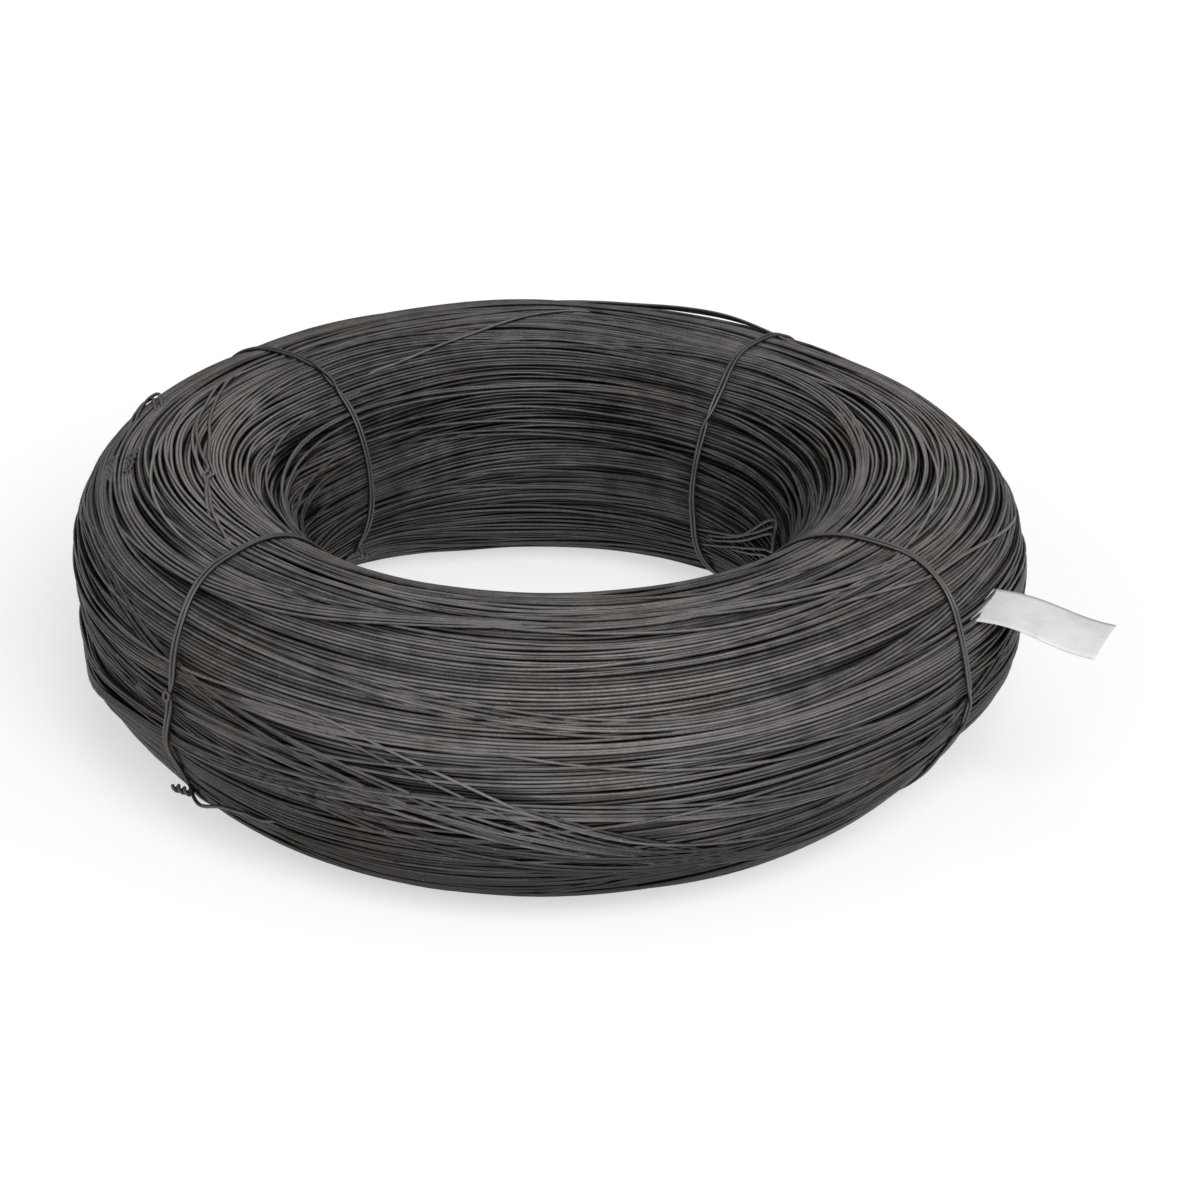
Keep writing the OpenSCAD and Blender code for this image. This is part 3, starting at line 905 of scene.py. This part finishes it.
def loose_strands():
    """Strands that have sprung out of the winding, each with its tone.

    A bight in the bore, a lifted pair at the back, kinks, an eye and crumpled bits on the left,
    and two that cross the others.
    """
    bight = (
        (
            (58, -36, -4), (48.3, -27.3, -0.2), (31, -13.9, 0.4), (23.9, -4.5, 0.9),
            (16.8, 5.9, 1.4), (10.4, 13.7, 1.9), (7, 16.2, 2.1), (5, 14.4, 2.2),
            (4.2, 8, 2.2), (3.4, 0, 2.0), (2.6, -8, 1.2), (1.5, -18, -4),
        ),
        (
            (52, -35, -4), (40.7, -24.9, -0.2), (24.2, -6.8, 0.6), (16.3, 2.7, 1.1), (9.2, 11, 1.6),
            (6.6, 12.2, 1.8), (5.6, 9.5, 1.9), (5.2, 2, 1.8), (5.6, -3, 1.6),
            (9, -6.6, 1.2), (18, -13, 0.6), (30, -24.5, 0.2), (44, -38, -4),
        ),
        (
            (54, -40, -4), (41.3, -28.4, -0.2), (25.6, -11.3, 0.4), (17.6, -1.6, 0.8), (11, 5.5, 1.2),
            (8.4, 7, 1.4), (7.2, 4.6, 1.5), (7, 0.5, 1.4), (8.6, -2.2, 1.3), (14, -6.4, 0.9),
            (25, -16.1, 0.6), (36.3, -27.1, 0.3), (48.2, -37.9, -0.2), (60, -49, -4),
        ),
    )
    lifted = (
        (92, 121, -4), (84, 124, -0.2), (76, 126.5, 1.0), (69, 128, 2.6),
        (63, 127.5, 3.0), (57, 125.5, 1.9), (51, 122.5, 0.3), (44, 119, -4),
    )
    eye = (
        (176, 128, -4), (170, 131.3, 0.2), (166.3, 133.5, 1.2), (163.6, 134.8, 1.9),
        (162.2, 132.5, 2.1), (163, 128.5, 1.6), (165, 124.8, 0.8), (168, 120, -4),
    )
    kinked = (
        (
            (148, 110, -4), (156.2, 104.2, -0.6), (166.6, 97.7, 0), (173.3, 95.5, 0.1),
            (181.4, 91.2, 0.1), (189.3, 87.4, 0.2), (192.6, 86.1, 0.3), (194.6, 87.2, 0.4),
            (196.1, 89.4, 0.4), (198.5, 89.7, 0.3), (202.5, 90.7, 0.2), (208.4, 95.7, 0),
            (215.5, 100.9, -0.6), (224, 107, -4),
        ),
        (
            (146, 109, -4), (153.8, 103, -0.6), (162.9, 95.8, 0), (171.1, 90.6, 0.1),
            (180.8, 85.4, 0.1), (189.2, 84.9, 0.2), (193.2, 84.3, 0.3), (195.8, 84.8, 0.4),
            (197.6, 88.3, 0.4), (202.9, 92.7, 0.2), (206.5, 95.7, -0.3), (213, 101, -4),
        ),
    )
    crossing = (
        (
            (134, 63, -4), (128, 64.5, -0.8), (122, 66, 0), (110, 74, 0.1),
            (101, 83, 0.1), (93, 94, 0), (86, 101, -0.8), (78, 108, -4),
        ),
        (
            (306, 124, -4), (311, 127, -0.8), (316, 130, 0), (324, 135, 0.1),
            (334, 139, 0.1), (346, 150, 0), (354, 158, -0.8), (362, 166, -4),
        ),
    )
    dark, dusky, dull, usual = 0.12, 0.2, 0.3, 0.5
    found = [(row, dark) for row in bight] + [(row, usual) for row in kinked + crossing]
    for j in range(2):
        found.append(([(a, p + 2.2 * j, lift * (1 - 0.45 * j)) for a, p, lift in lifted], usual))
    for j in range(2):
        found.append(([(a + 0.9 * j, p + 2.4 * j, lift * (1 - 0.4 * j)) for a, p, lift in eye], dull))
    for middle in (122.4, 125, 134.2, 137):
        crumpled = [(180.5, middle - 1, -4)]
        for i in range(10):
            swing = rng.uniform(0.3, 1.3) * (-1) ** i + 0.3 * (i - 5)
            crumpled.append((183.4 + 0.75 * i, middle + swing, rng.uniform(-0.7, 0.2)))
        found.append((crumpled + [(193, middle + 2, -4)], dusky))
    return found


def wire_mesh(name, runs):
    """Round wires along runs of points as one mesh, with the marks that the finish reads."""
    parts, tones, crests = [], [], []
    for points, out, tone in runs:
        closed = np.linalg.norm(points[0] - points[-1]) < CLOSING_GAP * MM
        verts, quads, crest = tube(points, out, WIRE_R * MM, LOOSE_SIDES, closed)
        parts.append((verts, quads))
        crests.append(crest)
        tones.append(np.full(len(verts), tone))
    verts, quads = joined(parts)
    marks = {
        "turn_tone": np.concatenate(tones),
        "lie_deep": np.zeros(len(verts)),
        "groove_shade": np.full(len(verts), LOOSE_GROOVE_SHADE),
        "crest": np.concatenate(crests),
    }
    return quad_mesh(name, verts, quads, None, marks)


def build_ties():
    """Each tie: one wire twice round the section, its two ends twisted into a tail."""
    for name in TIE_WAYS:
        runs = [tie_wire(name)]
        if name == "tie_front_left":
            runs += [spare_end(), tie_eye()]
        runs = [run + (TIE_TONES[name],) for run in runs]
        place(wire_mesh(name + "_wire", runs), TIE_FINISH, name)


def build_loose_strands():
    """One mesh of all the sprung strands."""
    runs = [strand_points(stops, 1.2) + (tone,) for stops, tone in loose_strands()]
    place(wire_mesh("loose_strands", runs), TURN_FINISH, "wire_coil")


def build_tag():
    """A thin bare strip that leaves the turns right of the front right tie, tilts a little and droops."""
    long, tuck, wide, thick = 57.0, 8.0, 30.0, 0.35
    root_r, root_z = 233.4, 109.5
    rows, cols = 48, 12
    at, fall, tilt = math.radians(331.3), math.radians(-0.8), math.radians(6.6)
    out = np.array([math.cos(at) * math.cos(fall), math.sin(at) * math.cos(fall), math.sin(fall)])
    side = np.array([-math.sin(at), math.cos(at), 0.0])
    across = side * math.cos(tilt) + np.cross(out, side) * math.sin(tilt)
    up = np.cross(out, across)
    root = np.array([root_r * math.cos(at), root_r * math.sin(at), root_z + FLOOR_Z])
    t = np.linspace(-tuck / long, 1, rows)
    w = np.linspace(-0.5, 0.5, cols)
    t, w = np.meshgrid(t, w, indexing="ij")
    wave = 1.9 * np.sin(2 * np.pi * np.clip(t, -0.2, 1.0) * 0.82 + 0.25) * (1 - 0.25 * w) - 0.5
    curl = -1.2 * (2 * w) ** 2 * np.clip(t, 0, 1)
    sheet = root + (t * long)[..., None] * out + (w * wide)[..., None] * across
    lifts = (thick / 2, -thick / 2)
    faces = [(sheet + (wave + curl + lift)[..., None] * up).reshape(-1, 3) * MM for lift in lifts]
    top = grid_quads(rows, cols, False, False)
    under = top[:, ::-1] + rows * cols
    edge = np.concatenate(
        [
            np.arange(cols - 1),
            np.arange(rows - 1) * cols + cols - 1,
            (rows - 1) * cols + np.arange(cols - 1, 0, -1),
            np.arange(rows - 1, 0, -1) * cols,
        ]
    )
    after = np.roll(edge, -1)
    rim = np.stack([edge, after, after + rows * cols, edge + rows * cols], -1)
    obj = quad_mesh("tag_strip", np.concatenate(faces), np.concatenate([top, under, rim]))
    place(obj, TAG_FINISH, "tag")


build_turns()
build_core()
build_ties()
build_loose_strands()
build_tag()


# floor, light and camera
def floor_finish():
    """Pale floor that keeps the coil's shadow, and goes to white away from it for the camera and in reflections."""
    made = bpy.data.materials.new("studio_floor")
    made.use_nodes = True
    tree = made.node_tree
    tree.nodes.clear()
    out = node(tree, "ShaderNodeOutputMaterial")
    lit = node(tree, "ShaderNodeBsdfDiffuse")
    lit.inputs["Color"].default_value = (0.43, 0.43, 0.43, 1)
    glow = node(tree, "ShaderNodeEmission")
    glow.inputs["Color"].default_value = (1, 1, 1, 1)
    path = node(tree, "ShaderNodeLightPath")
    seen = math_node(tree, "MAXIMUM", path.outputs["Is Camera Ray"], path.outputs["Is Glossy Ray"])
    seen = math_node(tree, "MAXIMUM", seen, path.outputs["Is Transmission Ray"])
    far = node(tree, "ShaderNodeVectorMath", operation="LENGTH")
    tree.links.new(node(tree, "ShaderNodeTexCoord").outputs["Object"], far.inputs[0])
    white = scaled(tree, ramp(tree, far.outputs["Value"], 0.3, 1.0), 0.38, 0.62)
    tree.links.new(math_node(tree, "MULTIPLY", seen, white), glow.inputs["Strength"])
    add = node(tree, "ShaderNodeAddShader")
    tree.links.new(lit.outputs[0], add.inputs[0])
    tree.links.new(glow.outputs[0], add.inputs[1])
    tree.links.new(add.outputs[0], out.inputs["Surface"])
    return made


def look_matrix(ahead, roll=0.0):
    """Rotation that looks along ahead, with the right side tipped up by roll degrees."""
    f = np.array(ahead, float) / np.linalg.norm(ahead)
    right = np.cross(f, [0, 0, 1.0]) if abs(f[2]) < 0.999 else np.array([1.0, 0, 0])
    right /= np.linalg.norm(right)
    up = np.cross(right, f)
    c, s = math.cos(math.radians(roll)), math.sin(math.radians(roll))
    x, y = right * c + up * s, up * c - right * s
    m = Matrix.Identity(4)
    for i in range(3):
        m[i][0], m[i][1], m[i][2] = x[i], y[i], -f[i]
    return m


def build_stage():
    """Floor, white surround and three soft lamps, all turned to the middle of the coil."""
    size = 8.0
    z = FLOOR_Z * MM
    corners = np.array([[-size, -size, z], [size, -size, z], [size, size, z], [-size, size, z]])
    floor = quad_mesh("studio_floor", corners, np.array([[0, 1, 2, 3]]))
    floor.data.materials.append(floor_finish())
    world = bpy.data.worlds.new("studio")
    bpy.context.scene.world = world
    world.use_nodes = True
    tree = world.node_tree
    back = tree.nodes["Background"]
    back.inputs["Color"].default_value = (1, 1, 1, 1)
    path = node(tree, "ShaderNodeLightPath")
    seen = math_node(tree, "MAXIMUM", path.outputs["Is Camera Ray"], path.outputs["Is Transmission Ray"])
    tree.links.new(scaled(tree, seen, 0.76, 0.24), back.inputs["Strength"])
    for name, place_at, wide, power in (
        ("key_light", (0.4, -1.35, 1.35), 1.2, 33),
        ("left_fill", (-1.9, -0.8, 1.2), 1.4, 3.1),
        ("top_light", (0.0, 0.0, 2.3), 1.8, 4.8),
    ):
        lamp = bpy.data.lights.new(name, "AREA")
        lamp.shape = "DISK"
        lamp.size = wide
        lamp.energy = power
        obj = bpy.data.objects.new(name, lamp)
        bpy.context.scene.collection.objects.link(obj)
        obj.matrix_world = Matrix.Translation(place_at) @ look_matrix(-np.array(place_at))


def build_camera():
    """The photograph's view: 26 degrees above the floor from the front, in its pixels and in millimetres."""
    photo, focal, mid_x, mid_y = 1200, 2621.3, 545.06, 557.28
    away, aim_z, rise, roll, sensor = 1327.3, 75, 26.08, 1.08, 36
    cam = bpy.data.cameras.new("photo_camera")
    cam.sensor_width = sensor
    cam.lens = focal / photo * sensor
    cam.shift_x = (photo / 2 - mid_x) / photo
    cam.shift_y = (mid_y - photo / 2) / photo
    cam.clip_start, cam.clip_end = 0.05, 40
    obj = bpy.data.objects.new("photo_camera", cam)
    bpy.context.scene.collection.objects.link(obj)
    e = math.radians(rise)
    at = (0, -away * math.cos(e) * MM, (aim_z + FLOOR_Z + away * math.sin(e)) * MM)
    obj.matrix_world = Matrix.Translation(at) @ look_matrix((0, math.cos(e), -math.sin(e)), roll)
    bpy.context.scene.camera = obj


build_stage()
build_camera()
bpy.context.scene.view_settings.view_transform = "Standard"
